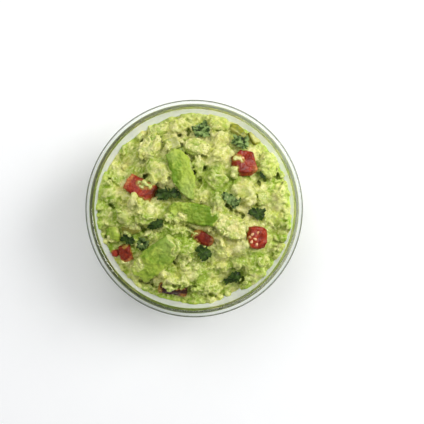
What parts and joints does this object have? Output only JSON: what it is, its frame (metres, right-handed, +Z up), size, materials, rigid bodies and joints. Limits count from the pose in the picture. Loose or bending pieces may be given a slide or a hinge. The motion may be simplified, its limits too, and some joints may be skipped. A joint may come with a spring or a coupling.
{
  "type": "bowl of guacamole",
  "caption": "Chunky guacamole heaped in a small round clear glass bowl, with pieces of avocado, tomato, onion, green chili and coriander leaf in its top.",
  "frame": {"origin": "centre of the foot ring, on the surface the bowl stands on", "axes": "+Z up out of the bowl, +X to the right and +Y away, as seen from the table's front edge; the round bowl has no front of its own"},
  "size_m": [0.12, 0.12, 0.0607],
  "materials": {
    "glass": "clear, polished, faintly green where it is thick",
    "mash": "moist coarse avocado mash, pale yellow-green with greener streaks",
    "avocado": "moist cut avocado flesh, bright green, smooth with fine fibres",
    "pale_avocado": "moist cut avocado flesh from near the stone, pale yellow, smooth",
    "tomato": "wet cut tomato flesh, glossy red with pale seeds",
    "onion": "wet translucent onion, pale grey-green",
    "chili": "glossy olive-green pepper skin with a paler cut edge",
    "leaf": "dark green herb leaf with fine veins, slightly wet"
  },
  "bodies": {
    "root": {"bowl": "glass", "mash": "mash", "tomato_1": "tomato", "tomato_2": "tomato", "tomato_3": "tomato", "tomato_4": "tomato", "tomato_5": "tomato", "tomato_6": "tomato", "tomato_7": "tomato", "avocado_1": "avocado", "avocado_2": "avocado", "avocado_3": "avocado", "avocado_4": "avocado", "avocado_5": "avocado", "avocado_6": "avocado", "avocado_7": "pale_avocado", "avocado_8": "pale_avocado", "avocado_9": "pale_avocado", "avocado_10": "pale_avocado", "avocado_11": "pale_avocado", "onion_1": "onion", "onion_2": "onion", "chili_1": "chili", "chili_2": "chili", "leaf_1": "leaf", "leaf_2": "leaf", "leaf_3": "leaf", "leaf_4": "leaf", "leaf_5": "leaf", "leaf_6": "leaf", "leaf_7": "leaf", "leaf_8": "leaf", "leaf_9": "leaf", "leaf_10": "leaf", "leaf_11": "leaf", "leaf_12": "leaf"}
  },
  "joints": []
}
